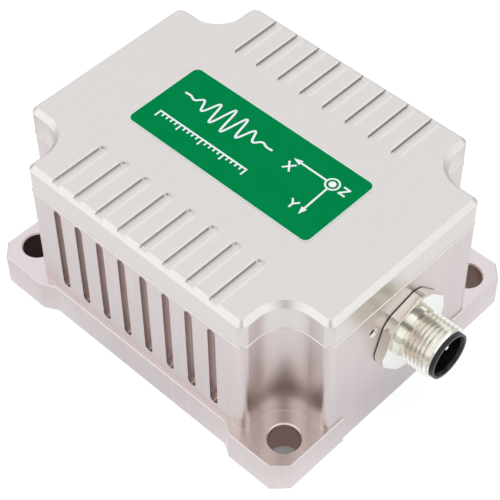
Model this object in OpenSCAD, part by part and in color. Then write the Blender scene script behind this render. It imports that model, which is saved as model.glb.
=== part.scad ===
// Vibration sensor in a milled aluminium housing.
// A cover closes the housing from above and four long screws hold it from beneath. A round panel
// connector on one end carries power and data to the circuit board inside.
// Millimetres, +Z up. The origin is the centre of the base face, and +X runs out of the connector.

/* [Housing] */
// Length over the end walls, along X
housing_l = 84.8; // [80:0.2:94]
// Width over the long walls, along Y
housing_w = 67.4; // [64:0.2:76]
// Height from the base face to the joint with the cover
housing_h = 35.3; // [34:0.1:46]
// Thickness of the end walls
end_wall = 4.4; // [4:0.1:6]
// Thickness of the long walls
side_wall = 5.2; // [4.6:0.1:7]
// Thickness of the wall round each corner notch
notch_wall = 3.4; // [2.8:0.1:4.2]
// Thickness of the floor
floor_t = 5; // [4:0.1:7]
// Radius of the corner notches, which are centred on the mounting holes
notch_r = 6.8; // [6:0.1:7.6]
// Rounding of the outer corners beside the notches
corner_r = 1.8; // [1.7:0.1:2.6]
// Rounding of the cavity's end corners
cavity_r = 2.5; // [2.3:0.1:4]
// Edge break round the rim, which shows as the joint line
rim_break = 0.35; // [0.2:0.05:0.6]

/* [Mounting ears] */
// Height of the ears
ear_t = 8; // [6:0.1:12]
// How far the ears stand out past the end walls
ear_out_x = 0.4; // [0.2:0.1:4]
// How far the ears stand out past the long walls
ear_out_y = 2.5; // [2:0.1:6]
// Length of each ear along the long wall
ear_run_x = 14.4; // [13:0.1:16]
// Length of each ear along the end wall
ear_run_y = 18.9; // [16:0.1:24]
// Chamfer on the ears' corners
ear_chamfer = 3.1; // [1:0.1:4]
// Slope of the ears' inner ends, in degrees
ear_slope = 30; // [25:1:45]
// Rounding where the ears' inner ends meet the strip between them
ear_fillet = 2.5; // [1:0.1:4]
// How far the strip between the ears stands out past the long walls
strip_out = 0.8; // [0.5:0.1:1.2]
// Edge break along the top of the ears and strips
ear_break = 0.25; // [0.1:0.05:0.4]
// Distance of the mounting holes in from the ears' ends
hole_in_x = 5.6; // [5:0.1:7]
// Distance of the mounting holes in from the ears' sides
hole_in_y = 7.1; // [5:0.1:8]
// Diameter of the mounting holes
mount_d = 6.8; // [5:0.1:7.4]
// Edge break on the mounting holes
mount_break = 0.3; // [0.1:0.05:0.5]

/* [Cover] */
// Thickness of the cover
cover_t = 7; // [6.5:0.1:10]
// Chamfer round the cover's top edge
cover_chamfer = 1.15; // [0.5:0.05:1.3]
// Height of the locating lip under the cover
lip_h = 1.6; // [1.2:0.1:2]
// Thickness of the locating lip
lip_t = 1.5; // [1:0.1:2]
// Gap between the lip and the cavity wall
lip_gap = 0.15; // [0.1:0.05:0.3]
// Depth of the pocket inside the cover
pocket_h = 3; // [1:0.1:4]
// Thickness of the gasket, which fills its ledge
gasket_t = 1; // [0.6:0.1:1.2]
// Width of the gasket
gasket_w = 1.6; // [1.2:0.1:2]

/* [Slots and grooves] */
// Number of slots in each long wall, and of grooves above them
slot_count = 8; // [4:1:9]
// Distance between slots
slot_pitch = 6.3; // [5:0.1:6.5]
// Width of the slots and grooves
slot_w = 2.1; // [1.5:0.1:3]
// Depth of the wall slots
slot_depth = 2.5; // [1:0.1:3]
// Height of the slots' lower ends above the ears
slot_above_ear = 2.4; // [1:0.1:8]
// Distance of the slots' upper ends below the joint
slot_below_rim = 1; // [0.8:0.1:4]
// Length of the cover's grooves, in from the long wall
groove_l = 14.6; // [6:0.1:20]
// Depth of the cover's grooves
groove_depth = 0.45; // [0.3:0.05:1]

/* [Cover screws] */
// Thread diameter
cover_screw_d = 3; // [2.5:0.5:3]
// Depth of the head's seat above the base face
cover_screw_seat = 5.3; // [4.2:0.1:8]
// Length of thread in the cover
cover_screw_grip = 5; // [4:0.1:5.5]
// Distance of the screws in from the notch
cover_screw_in_x = 4; // [3.8:0.1:5]
// Distance of the screws in from the long wall
cover_screw_in_y = 5.7; // [5.2:0.1:7]
// Radius of the pillar round each screw
pillar_r = 4.6; // [4.4:0.1:5.4]

/* [Label] */
// Length of the label
label_l = 50.4; // [30:0.2:56]
// Width of the label
label_w = 20.9; // [12:0.1:30]
// Rounding of the label's corners
label_r = 1.6; // [0.5:0.1:4]
// Thickness of the label
label_t = 0.2; // [0.1:0.05:0.4]

/* [Connector] */
// Sideways place of the connector's axis
conn_y = 0.9; // [-4:0.1:4]
// Distance of the connector's axis below the joint with the cover
conn_below_rim = 14; // [13.6:0.1:15]
// Diameter of the front thread
thread_d = 12; // [11.5:0.1:12.5]
// Length of the front thread
thread_l = 7.2; // [5:0.1:9]
// Diameter of the relief behind the thread
relief_d = 11; // [10.8:0.1:11.4]
// Length of the relief
relief_l = 0.8; // [0.5:0.1:1.5]
// Width of the hex flange across its flats
hex_af = 18.4; // [18.2:0.1:20]
// Diameter that the hex flange's corners are turned to
hex_turned_d = 19.5; // [19:0.1:21]
// Thickness of the hex flange
hex_t = 2.4; // [1.5:0.1:4]
// Turn of the hex flange about its axis, in degrees
hex_turn = 42.3; // [0:0.1:60]
// Diameter of the rear thread, which passes through the end wall
rear_d = 16; // [15:0.5:16]
// Thickness of the locknut
locknut_t = 3; // [2:0.1:4]
// Width of the locknut across its flats
locknut_af = 20; // [19:0.5:21]
// Diameter of the black rim in front of the thread
rim_d = 10.6; // [10.4:0.1:11]
// Thickness of the black rim
rim_t = 0.9; // [0.6:0.1:2]
// Diameter of the socket inside the rim
socket_d = 8.8; // [8.6:0.1:9]
// Depth of the socket
socket_depth = 8; // [6:0.1:9]
// Thickness of the seal behind the hex flange
seal_t = 0.2; // [0.2:0.05:0.6]
// Diameter of the contact pins
pin_d = 1; // [0.8:0.05:1.2]
// Diameter of the circle that the pins stand on
pin_circle_d = 7; // [6.6:0.1:7]
// Turn of the first pin about the axis, in degrees
pin_turn = 14; // [0:1:90]
// Distance of the pins' tips behind the rim
pin_recess = 0.3; // [0.1:0.1:2]

/* [Earth screw hole] */
// Distance of the hole beside the connector's axis
earth_aside = 10.3; // [10.3:0.1:13]
// Height of the hole above the connector's axis
earth_above = 7.1; // [6.5:0.1:8]
// Diameter of the drilled hole
earth_d = 2.5; // [2:0.1:3]
// Depth of the hole
earth_depth = 3.4; // [2:0.1:3.6]

/* [Circuit board] */
// Thickness of the board
board_t = 1.6; // [1:0.1:2]
// Gap round the board
board_gap = 0.9; // [0.5:0.1:2]
// Free length that the board leaves at the connector's end
connector_room = 10; // [8:0.5:12]
// Height of the bosses under the board
boss_h = 4; // [3:0.1:5]
// Diameter of the bosses
boss_d = 6; // [5.5:0.1:7]
// Thread diameter of the board's screws
board_screw_d = 2.5; // [2:0.5:2.5]
// Length of the board's screws under the head
board_screw_l = 6; // [5:0.5:7]
// Diameter of the leads
lead_d = 1.3; // [1:0.1:1.6]

/* [Hidden] */
$fn = 64;
// Cutters run this far past the faces that they open
over = 0.2;
// Play round a screw in a plain hole, on the diameter
hole_play = 0.4;
// Play between pieces that slide together, on the radius
slide_gap = 0.05;

half_l = housing_l / 2;
half_w = housing_w / 2;
top_z = housing_h + cover_t;
ear_x = half_l + ear_out_x;
ear_y = half_w + ear_out_y;
strip_y = half_w + strip_out;
hole_x = ear_x - hole_in_x;
hole_y = ear_y - hole_in_y;
notch_x = hole_x - notch_r;
notch_y = hole_y - notch_r;
cavity_x = half_l - end_wall;
cavity_y = half_w - side_wall;
cavity_neck_y = notch_y - notch_wall;

screw_x = notch_x - cover_screw_in_x;
screw_y = half_w - cover_screw_in_y;
// Head sizes follow the thread, as on socket head screws
function head_d(d) = 1.5 * d + 1;
function socket_af(d) = 0.8 * d + 0.1;
head_play = 0.5;
socket_share = 0.5;

conn_z = housing_h - conn_below_rim;
earth_y = conn_y - earth_aside;
earth_z = conn_z + earth_above;
// The connector's places along its axis, measured out from the end wall's outer face
hex_front = seal_t + hex_t;
relief_front = hex_front + relief_l;
thread_front = relief_front + thread_l;
rim_front = thread_front + rim_t;
socket_floor = rim_front - socket_depth;
nut_back = -end_wall - locknut_t;
shell_tail = 1.4;
shell_back = nut_back - shell_tail;
insert_r = 4.9;
seal_r = 9;
hex_bevel = 0.45;
thread_bevel = 0.5;
rim_bevel = [0.35, 0.7];
key_turn = pin_turn + 135;
key_size = [0.7, 1.2];
key_recess = 1;
pin_count = 4;
cup_d = 1.7;
cup_l = 3.5;
cup_back = shell_back - cup_l;

board_z = floor_t + boss_h;
board_top = board_z + board_t;
board_l = 2 * cavity_x - board_gap - connector_room;
board_w = 2 * (cavity_neck_y - board_gap);
board_x = -cavity_x + board_gap + board_l / 2;
board_screw_in = 3;
boss_x = board_l / 2 - board_screw_in;
boss_y = board_w / 2 - board_screw_in;

// Standard package sizes, with the leads' pitch where there are any. Places and the starts of rows
// are shares of the board's half length and half width.
header_size = [8, 12, 7];
plug_size = [9, 9.6, 4.6];
plug_inset = 5.5;
plug_z = 3.5;
header_place = [0.18, 0];
lead_pitch = 2;
accelerometer_size = [6, 6, 2.1];
accelerometer_place = [-0.3, 0];
micro_size = [7, 7, 1.4];
micro_leads = 12;
micro_pitch = 0.5;
micro_place = [-0.36, 0.55];
transceiver_size = [4.9, 3.9, 1.5];
transceiver_leads = 4;
transceiver_pitch = 1.27;
transceiver_place = [0.12, 0.66];
regulator_size = [6.5, 3.5, 1.6];
regulator_leads = 3;
regulator_pitch = 2.3;
regulator_place = [0.12, -0.66];
inductor_size = [6, 6, 3];
inductor_place = [0.4, -0.66];
can_d = 6.3;
can_h = 5.4;
can_base = [6.6, 6.6, 0.9];
can_places = [[-0.15, -0.6], [0.64, -0.6]];
crystal_size = [3.2, 5, 0.8];
crystal_place = [-0.62, 0.55];
diode_size = [4.4, 3.6, 2.2];
diode_places = [[0.43, 0.44], [0.43, 0.72], [0.65, 0.44]];
diode_tab = [0.6, 2, 0.3];
capacitor_size = [1.25, 2, 0.9];
capacitor_start = [-0.74, -0.33];
capacitor_pitch = 2.5;
resistor_size = [0.8, 1.6, 0.5];
resistor_start = [-0.74, -0.67];
resistor_pitch = 2.2;
row_count = 6;
end_cap_l = 0.3;
chip_lift = 0.1;
lead_foot = 0.7;
lead_thick = 0.2;

// Repeats a shape from the +X +Y corner in all four corners
module four_corners() {
    for (mx = [0, 1], my = [0, 1]) mirror([mx, 0, 0]) mirror([0, my, 0]) children();
}

// Turns a shape drawn along Z to lie along the connector's axis, with angles from +Y towards +Z
module on_connector() {
    translate([half_l, conn_y, conn_z]) rotate([90, 0, 90]) children();
}

// Places a shape on the board's upper face
module on_board(place) {
    translate([board_x + place[0] * board_l / 2, place[1] * board_w / 2, board_top]) children();
}

// The waste outside a rounded corner whose centre is at x, y
module corner_waste(x, y, r) {
    translate([x, y]) difference() {
        square(r + over);
        circle(r);
    }
}

// One corner notch: an arc round the mounting hole, open towards both outer walls
module notch(r) {
    translate([hole_x, hole_y]) circle(r);
    translate([hole_x - r, hole_y]) square([half_l, half_w]);
    translate([hole_x, hole_y - r]) square([half_l, half_w]);
}

// Outline shared by the housing's walls and the cover
module outline() {
    difference() {
        square([housing_l, housing_w], center = true);
        four_corners() {
            notch(notch_r);
            corner_waste(half_l - corner_r, notch_y - corner_r, corner_r);
            corner_waste(notch_x - corner_r, half_w - corner_r, corner_r);
        }
    }
}

// Outline of the cavity, let out by grow
module cavity(grow = 0) {
    difference() {
        square([2 * (cavity_x + grow), 2 * (cavity_y + grow)], center = true);
        four_corners() {
            notch(notch_r + notch_wall - grow);
            translate([screw_x, screw_y]) circle(pillar_r - grow);
            corner_waste(cavity_x - cavity_r, cavity_neck_y - cavity_r, cavity_r + grow);
        }
    }
}

// Wedge that cuts a 45 degree chamfer c along a straight top edge on the X axis, material at -Y
module edge_wedge(length, c) {
    rotate([90, 0, 90]) linear_extrude(length, center = true)
        polygon([[over, -c - over], [over, over], [-c - over, over]]);
}

// Waste of the chamfer round a convex corner
module corner_cone_waste(x, y, c) {
    translate([x, y, -c - over]) difference() {
        cube([corner_r + over, corner_r + over, c + 2 * over]);
        translate([0, 0, -over])
            cylinder(h = c + 4 * over, r1 = corner_r + 2 * over, r2 = corner_r - c - 2 * over);
    }
}

// Waste of a chamfer c all round the outline, with the top face at z = 0
module edge_cut(c) {
    for (turn = [0, 180]) rotate(turn) {
        translate([0, half_w, 0]) edge_wedge(housing_l, c);
        translate([half_l, 0, 0]) rotate(-90) edge_wedge(housing_w, c);
    }
    four_corners() {
        translate([hole_x, hole_y, -c - over])
            cylinder(h = c + 2 * over, r1 = notch_r - over, r2 = notch_r + c + over);
        translate([hole_x + half_l / 2, notch_y, 0]) edge_wedge(half_l, c);
        translate([notch_x, hole_y + half_w / 2, 0]) rotate(-90) edge_wedge(half_w, c);
        corner_cone_waste(half_l - corner_r, notch_y - corner_r, c);
        corner_cone_waste(notch_x - corner_r, half_w - corner_r, c);
    }
}

// One quarter of the flange's outline before the bays between the ears are cut
ear_quarter = [[half_l, ear_y - ear_run_y - ear_out_x], [ear_x, ear_y - ear_run_y],
    [ear_x, ear_y - ear_chamfer], [ear_x - ear_chamfer, ear_y]];
function flip(points, sx, sy) = [for (p = points) [p[0] * sx, p[1] * sy]];
function reversed(points) = [for (k = [len(points) - 1:-1:0]) points[k]];
flange_points = concat(ear_quarter, reversed(flip(ear_quarter, -1, 1)),
    flip(ear_quarter, -1, -1), reversed(flip(ear_quarter, 1, -1)));

// The bay between the ears has the strip as its floor and a rounding at each end, then a slope
slope_foot_x = ear_x - ear_run_x - (ear_y - strip_y) / tan(ear_slope);
fillet_x = slope_foot_x - ear_fillet * tan(ear_slope / 2);
fillet_y = strip_y + ear_fillet;
slope_start = [fillet_x + ear_fillet * sin(ear_slope), fillet_y - ear_fillet * cos(ear_slope)];
slope_end = [ear_x - ear_run_x + over / tan(ear_slope), ear_y + over];

// The bay on the +Y side
module bay() {
    right = [[fillet_x, strip_y], slope_start, slope_end];
    polygon(concat(right, reversed(flip(right, -1, 1))));
    for (s = [-1, 1]) translate([s * fillet_x, fillet_y]) circle(ear_fillet);
}

// Waste of a chamfer c along the bay's edge, with the top face at z = 0
module bay_cut(c) {
    slope_mid = (slope_start + slope_end) / 2;
    translate([0, strip_y, 0]) edge_wedge(2 * fillet_x, c);
    for (side = [0, 1]) mirror([side, 0, 0]) {
        translate([fillet_x, fillet_y, -c - over])
            cylinder(h = c + 2 * over, r1 = ear_fillet - over, r2 = ear_fillet + c + over);
        translate([slope_mid[0], slope_mid[1], 0]) rotate(ear_slope)
            edge_wedge(norm(slope_end - slope_start), c);
    }
}

// Ears and strips, with an edge break along their top
module flange() {
    n = len(flange_points);
    difference() {
        linear_extrude(ear_t) difference() {
            polygon(flange_points);
            for (turn = [0, 180]) rotate(turn) bay();
        }
        translate([0, 0, ear_t]) {
            for (k = [0:n - 1]) let (a = flange_points[k], b = flange_points[(k + 1) % n], run = b - a)
                translate([(a[0] + b[0]) / 2, (a[1] + b[1]) / 2, 0])
                    rotate(atan2(run[1], run[0]) + 180) edge_wedge(norm(run), ear_break);
            for (turn = [0, 180]) rotate(turn) bay_cut(ear_break);
        }
    }
}

// A slot with round ends, drawn along Y from the origin
module slot_outline(length) {
    translate([0, slot_w / 2]) circle(d = slot_w);
    translate([0, length - slot_w / 2]) circle(d = slot_w);
    translate([-slot_w / 2, slot_w / 2]) square([slot_w, length - slot_w]);
}

// Places a shape at each slot along both long walls
module along_walls() {
    for (turn = [0, 180], k = [0:slot_count - 1])
        rotate(turn) translate([(k - (slot_count - 1) / 2) * slot_pitch, -half_w, 0]) children();
}

module wall_slot() {
    low = ear_t + slot_above_ear;
    translate([0, slot_depth, low]) rotate([90, 0, 0])
        linear_extrude(slot_depth + over) slot_outline(housing_h - slot_below_rim - low);
}

module cover_groove() {
    translate([0, 0, top_z - groove_depth]) linear_extrude(groove_depth + over) {
        translate([0, groove_l - slot_w / 2]) circle(d = slot_w);
        translate([-slot_w / 2, -over]) square([slot_w, groove_l - slot_w / 2 + over]);
    }
}

module mount_hole() {
    translate([0, 0, -over]) cylinder(h = ear_t + 2 * over, d = mount_d);
    translate([0, 0, ear_t - mount_break])
        cylinder(h = mount_break + over, d1 = mount_d, d2 = mount_d + 2 * (mount_break + over));
}

// Deep seat for the head from beneath, then a plain hole up to the rim
module cover_screw_hole() {
    translate([0, 0, -over])
        cylinder(h = cover_screw_seat + over, d = head_d(cover_screw_d) + head_play);
    cylinder(h = housing_h + over, d = cover_screw_d + hole_play);
}

// Place of the board's screws
module at_bosses() {
    translate([board_x, 0, 0])
        for (sx = [-1, 1], sy = [-1, 1]) translate([sx * boss_x, sy * boss_y, 0]) children();
}

module base_housing() {
    color([0.82, 0.8, 0.79]) difference() {
        union() {
            difference() {
                union() {
                    flange();
                    linear_extrude(housing_h) outline();
                }
                translate([0, 0, floor_t]) linear_extrude(housing_h) cavity();
            }
            at_bosses() translate([0, 0, floor_t - over]) cylinder(h = boss_h + over, d = boss_d);
        }
        translate([0, 0, housing_h]) edge_cut(rim_break);
        translate([0, 0, housing_h - gasket_t]) linear_extrude(housing_h) cavity(gasket_w);
        four_corners() translate([hole_x, hole_y, 0]) mount_hole();
        four_corners() translate([screw_x, screw_y, 0]) cover_screw_hole();
        along_walls() wall_slot();
        at_bosses() translate([0, 0, board_z + board_t - board_screw_l - hole_play])
            cylinder(h = board_screw_l + hole_play, d = board_screw_d + 2 * slide_gap);
        on_connector() translate([0, 0, -end_wall - over])
            cylinder(h = end_wall + 2 * over, d = rear_d + hole_play);
        translate([half_l - earth_depth, earth_y, earth_z]) rotate([0, 90, 0])
            cylinder(h = earth_depth + over, d = earth_d);
    }
}

module top_cover() {
    color([0.87, 0.86, 0.85]) difference() {
        union() {
            translate([0, 0, housing_h]) linear_extrude(cover_t) outline();
            translate([0, 0, housing_h - lip_h]) linear_extrude(lip_h + over) cavity(-lip_gap);
        }
        translate([0, 0, housing_h - lip_h - over])
            linear_extrude(lip_h + pocket_h + over) cavity(-lip_gap - lip_t);
        translate([0, 0, top_z]) edge_cut(cover_chamfer);
        along_walls() cover_groove();
        four_corners() translate([screw_x, screw_y, housing_h - over])
            cylinder(h = cover_screw_grip + hole_play + over, d = cover_screw_d + 2 * slide_gap);
    }
}

module cover_gasket() {
    color([0.1, 0.1, 0.11]) translate([0, 0, housing_h - gasket_t]) linear_extrude(gasket_t)
        difference() {
            cavity(gasket_w - slide_gap);
            cavity();
        }
}

// Socket head screw with the head's seat at z = 0, the thread upwards
module socket_screw(d, length) {
    difference() {
        union() {
            translate([0, 0, -d]) cylinder(h = d, d = head_d(d));
            translate([0, 0, -over]) cylinder(h = length + over, d = d);
        }
        translate([0, 0, -d - over])
            cylinder(h = socket_share * d + over, d = socket_af(d) / cos(30), $fn = 6);
    }
}

module cover_screws() {
    color([0.55, 0.55, 0.56]) four_corners() translate([screw_x, screw_y, cover_screw_seat])
        socket_screw(cover_screw_d, housing_h + cover_screw_grip - cover_screw_seat);
}

module label() {
    color([0, 0.54, 0.28]) translate([0, 0, top_z]) linear_extrude(label_t) {
        square([label_l, label_w - 2 * label_r], center = true);
        square([label_l - 2 * label_r, label_w], center = true);
        for (sx = [-1, 1], sy = [-1, 1])
            translate([sx * (label_l / 2 - label_r), sy * (label_w / 2 - label_r)]) circle(label_r);
    }
}

// Hex flange with its corners turned round and its front edge bevelled
module hex_flange() {
    intersection() {
        translate([0, 0, seal_t]) rotate(hex_turn + 30)
            cylinder(h = hex_t, d = hex_af / cos(30), $fn = 6);
        rotate_extrude() polygon([[0, seal_t], [hex_turned_d / 2, seal_t],
            [hex_turned_d / 2, hex_front - hex_bevel], [hex_turned_d / 2 - 2 * hex_bevel, hex_front],
            [0, hex_front]]);
    }
}

module connector_shell() {
    color([0.78, 0.76, 0.7]) on_connector() difference() {
        union() {
            translate([0, 0, shell_back]) cylinder(h = seal_t + over - shell_back, d = rear_d);
            hex_flange();
            cylinder(h = relief_front + over, d = relief_d);
            translate([0, 0, relief_front]) cylinder(h = thread_l - thread_bevel, d = thread_d);
            translate([0, 0, thread_front - thread_bevel])
                cylinder(h = thread_bevel, d1 = thread_d, d2 = thread_d - 2 * thread_bevel);
        }
        translate([0, 0, shell_back - over])
            cylinder(h = thread_front - shell_back + 2 * over, r = insert_r + slide_gap);
    }
}

module connector_seal() {
    color([0.06, 0.06, 0.06]) on_connector() difference() {
        cylinder(h = seal_t, r = seal_r);
        translate([0, 0, -over]) cylinder(h = seal_t + 2 * over, d = rear_d + 2 * slide_gap);
    }
}

// Places a shape at each contact
module at_pins() {
    for (k = [0:pin_count - 1])
        rotate(pin_turn + k * 360 / pin_count) translate([pin_circle_d / 2, 0, 0]) children();
}

module connector_insert() {
    color([0.05, 0.05, 0.055]) on_connector() {
        difference() {
            union() {
                translate([0, 0, shell_back]) cylinder(h = rim_front - shell_back, r = insert_r);
                translate([0, 0, thread_front]) cylinder(h = rim_t, d = rim_d);
            }
            translate([0, 0, socket_floor]) cylinder(h = socket_depth + over, d = socket_d);
            translate([0, 0, rim_front - rim_bevel[1]])
                cylinder(h = rim_bevel[1], d1 = socket_d, d2 = socket_d + 2 * rim_bevel[0]);
            at_pins() translate([0, 0, shell_back - over])
                cylinder(h = socket_floor - shell_back + 2 * over, d = pin_d + 2 * slide_gap);
        }
        // Coding key on the socket's wall
        intersection() {
            rotate(key_turn) translate([socket_d / 2 - key_size[0], -key_size[1] / 2, socket_floor - over])
                cube([2 * key_size[0], key_size[1], socket_depth - key_recess + over]);
            translate([0, 0, socket_floor - over]) cylinder(h = socket_depth, r = insert_r);
        }
    }
}

module contact_pins() {
    tip = rim_front - pin_recess;
    color([0.85, 0.7, 0.35]) on_connector() at_pins() {
        translate([0, 0, shell_back - over]) cylinder(h = tip - pin_d / 2 - shell_back + over, d = pin_d);
        translate([0, 0, tip - pin_d / 2]) sphere(d = pin_d);
        translate([0, 0, cup_back]) cylinder(h = cup_l, d = cup_d);
    }
}

module connector_locknut() {
    color([0.75, 0.73, 0.68]) on_connector() translate([0, 0, nut_back]) difference() {
        cylinder(h = locknut_t, d = locknut_af / cos(30), $fn = 6);
        translate([0, 0, -over]) cylinder(h = locknut_t + 2 * over, d = rear_d + 2 * slide_gap);
    }
}

// A lead runs from a pin's solder cup to its place in the plug, in one S-shaped curve
lead_sides = 8;
lead_rings = 12;
lead_reach = 9;
plug_back = board_x + header_place[0] * board_l / 2 + header_size[0] / 2 + plug_size[0] - plug_inset;
function lead_start(pin) = let (a = pin_turn + pin * 360 / pin_count)
    [half_l + cup_back, conn_y + pin_circle_d / 2 * cos(a), conn_z + pin_circle_d / 2 * sin(a)];
function lead_end(way) = [plug_back, (way - (pin_count - 1) / 2) * lead_pitch, board_top + plug_z];
function bezier(a, b, c, d, t) =
    pow(1 - t, 3) * a + 3 * pow(1 - t, 2) * t * b + 3 * (1 - t) * t * t * c + pow(t, 3) * d;
function lead_route(pin, way) = let (
    a = lead_start(pin), d = lead_end(way),
    b = a - [lead_reach, 0, 0], c = d + [lead_reach, 0, 0])
    [for (k = [0:lead_rings]) bezier(a, b, c, d, k / lead_rings)];

// Round tube along a route whose ends both point along X
module tube(route, d) {
    n = len(route);
    function along(k) = k == 0 || k == n - 1 ? [-1, 0, 0]
        : let (v = route[k + 1] - route[k - 1]) v / norm(v);
    function ring(k) = let (
        t = along(k),
        s = cross(t, [0, 1, 0]) / norm(cross(t, [0, 1, 0])),
        u = cross(s, t))
        [for (j = [0:lead_sides - 1]) let (a = j * 360 / lead_sides)
            route[k] + d / 2 * (cos(a) * s + sin(a) * u)];
    polyhedron(
        points = [for (k = [0:n - 1]) each ring(k)],
        faces = concat(
            [[for (j = [0:lead_sides - 1]) j]],
            [[for (j = [lead_sides - 1:-1:0]) (n - 1) * lead_sides + j]],
            [for (k = [0:n - 2], j = [0:lead_sides - 1]) let (
                a = k * lead_sides + j, b = k * lead_sides + (j + 1) % lead_sides)
                [a, a + lead_sides, b + lead_sides, b]]));
}

module lead_brown() { color([0.36, 0.2, 0.1]) tube(lead_route(0, 3), lead_d); }
module lead_white() { color([0.9, 0.9, 0.88]) tube(lead_route(1, 1), lead_d); }
module lead_blue() { color([0.1, 0.25, 0.65]) tube(lead_route(2, 0), lead_d); }
module lead_black() { color([0.06, 0.06, 0.06]) tube(lead_route(3, 2), lead_d); }

// Socket on the board, open towards the connector
module board_header() {
    color([0.9, 0.88, 0.82]) on_board(header_place) {
        difference() {
            translate([-header_size[0] / 2, -header_size[1] / 2, 0]) cube(header_size);
            translate([header_size[0] / 2 - plug_inset, -plug_size[1] / 2 - slide_gap,
                plug_z - plug_size[2] / 2 - slide_gap])
                cube([plug_inset + over, plug_size[1] + 2 * slide_gap, plug_size[2] + 2 * slide_gap]);
        }
    }
}

module wire_plug() {
    color([0.86, 0.84, 0.78]) on_board(header_place)
        translate([header_size[0] / 2 - plug_inset, -plug_size[1] / 2, plug_z - plug_size[2] / 2])
            cube(plug_size);
}

module circuit_board() {
    color([0.05, 0.3, 0.15]) difference() {
        translate([board_x - board_l / 2, -board_w / 2, board_z]) cube([board_l, board_w, board_t]);
        at_bosses() translate([0, 0, board_z - over])
            cylinder(h = board_t + 2 * over, d = board_screw_d + hole_play);
    }
}

module board_screws() {
    color([0.6, 0.6, 0.6]) at_bosses() translate([0, 0, board_top]) mirror([0, 0, 1])
        socket_screw(board_screw_d, board_screw_l);
}

// A row of flat leads along one side of a chip, from its middle height down to the board
module chip_leads(size, count, pitch, width) {
    for (k = [0:count - 1]) translate([(k - (count - 1) / 2) * pitch - width / 2, size[1] / 2, 0]) {
        translate([0, -lead_thick, chip_lift + size[2] / 2 - lead_thick / 2])
            cube([width, 3 * lead_thick, lead_thick]);
        translate([0, lead_thick, 0])
            cube([width, lead_thick, chip_lift + size[2] / 2 + lead_thick / 2]);
        translate([0, lead_thick, 0]) cube([width, lead_foot, lead_thick]);
    }
}

module chip_body(size) {
    translate([-size[0] / 2, -size[1] / 2, chip_lift]) cube(size);
}

module accelerometer() {
    pad = 0.6;
    color([0.75, 0.72, 0.6]) on_board(accelerometer_place) {
        chip_body(accelerometer_size);
        for (sx = [-1, 1], sy = [-1, 1])
            translate([sx * accelerometer_size[0] / 3, sy * accelerometer_size[1] / 3, (chip_lift + over) / 2])
                cube([pad, pad, chip_lift + over], center = true);
    }
}

module microcontroller() {
    color([0.12, 0.12, 0.13]) on_board(micro_place) {
        chip_body(micro_size);
        for (turn = [0:90:270]) rotate(turn) chip_leads(micro_size, micro_leads, micro_pitch, micro_pitch / 2);
    }
}

module crystal() {
    color([0.75, 0.75, 0.76]) on_board(crystal_place)
        translate([0, 0, crystal_size[2] / 2]) cube(crystal_size, center = true);
}

module bus_transceiver() {
    color([0.12, 0.12, 0.13]) on_board(transceiver_place) {
        chip_body(transceiver_size);
        for (turn = [0, 180]) rotate(turn)
            chip_leads(transceiver_size, transceiver_leads, transceiver_pitch, transceiver_pitch / 3);
    }
}

module voltage_regulator() {
    color([0.13, 0.13, 0.13]) on_board(regulator_place) {
        chip_body(regulator_size);
        chip_leads(regulator_size, regulator_leads, regulator_pitch, regulator_pitch / 3);
        rotate(180) chip_leads(regulator_size, 1, regulator_pitch, 4 * regulator_pitch / 3);
    }
}

module power_inductor() {
    color([0.3, 0.3, 0.31]) on_board(inductor_place) intersection() {
        translate([0, 0, inductor_size[2] / 2]) cube(inductor_size, center = true);
        cylinder(h = inductor_size[2], d = 1.2 * inductor_size[0]);
    }
}

module bulk_capacitors() {
    color([0.7, 0.7, 0.72]) for (place = can_places) on_board(place) {
        translate([0, 0, can_base[2] / 2]) cube(can_base, center = true);
        cylinder(h = can_h, d = can_d);
    }
}

module surge_diodes() {
    color([0.14, 0.14, 0.14]) for (place = diode_places) on_board(place) {
        translate([0, 0, diode_size[2] / 2]) cube(diode_size, center = true);
        for (s = [-1, 1]) translate([s * diode_size[0] / 2, 0, diode_tab[2] / 2])
            cube([2 * diode_tab[0], diode_tab[1], diode_tab[2]], center = true);
    }
}

// A row of small chips with raised end caps
module chip_row(start, pitch, size) {
    for (k = [0:row_count - 1]) on_board(start) translate([k * pitch, 0, 0]) {
        translate([0, 0, size[2] / 2]) cube(size, center = true);
        for (s = [-1, 1]) translate([0, s * (size[1] - end_cap_l) / 2, size[2] / 2])
            cube([size[0] + chip_lift, end_cap_l + chip_lift, size[2]], center = true);
    }
}

module ceramic_capacitors() { color([0.72, 0.6, 0.45]) chip_row(capacitor_start, capacitor_pitch, capacitor_size); }
module chip_resistors() { color([0.15, 0.15, 0.16]) chip_row(resistor_start, resistor_pitch, resistor_size); }

base_housing();
top_cover();
cover_gasket();
cover_screws();
label();
connector_shell();
connector_seal();
connector_insert();
contact_pins();
connector_locknut();
lead_brown();
lead_white();
lead_blue();
lead_black();
wire_plug();
board_header();
circuit_board();
board_screws();
accelerometer();
microcontroller();
crystal();
bus_transceiver();
voltage_regulator();
power_inductor();
bulk_capacitors();
surge_diodes();
ceramic_capacitors();
chip_resistors();
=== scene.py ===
"""Looks of the vibration sensor: finishes, label, connector, small forms, floor, light and camera.

Lengths in names with capitals are millimetres. Meshes, and values from the frame, are metres.
"""

import math

import bmesh
import bpy
from mathutils import Matrix, Vector


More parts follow.
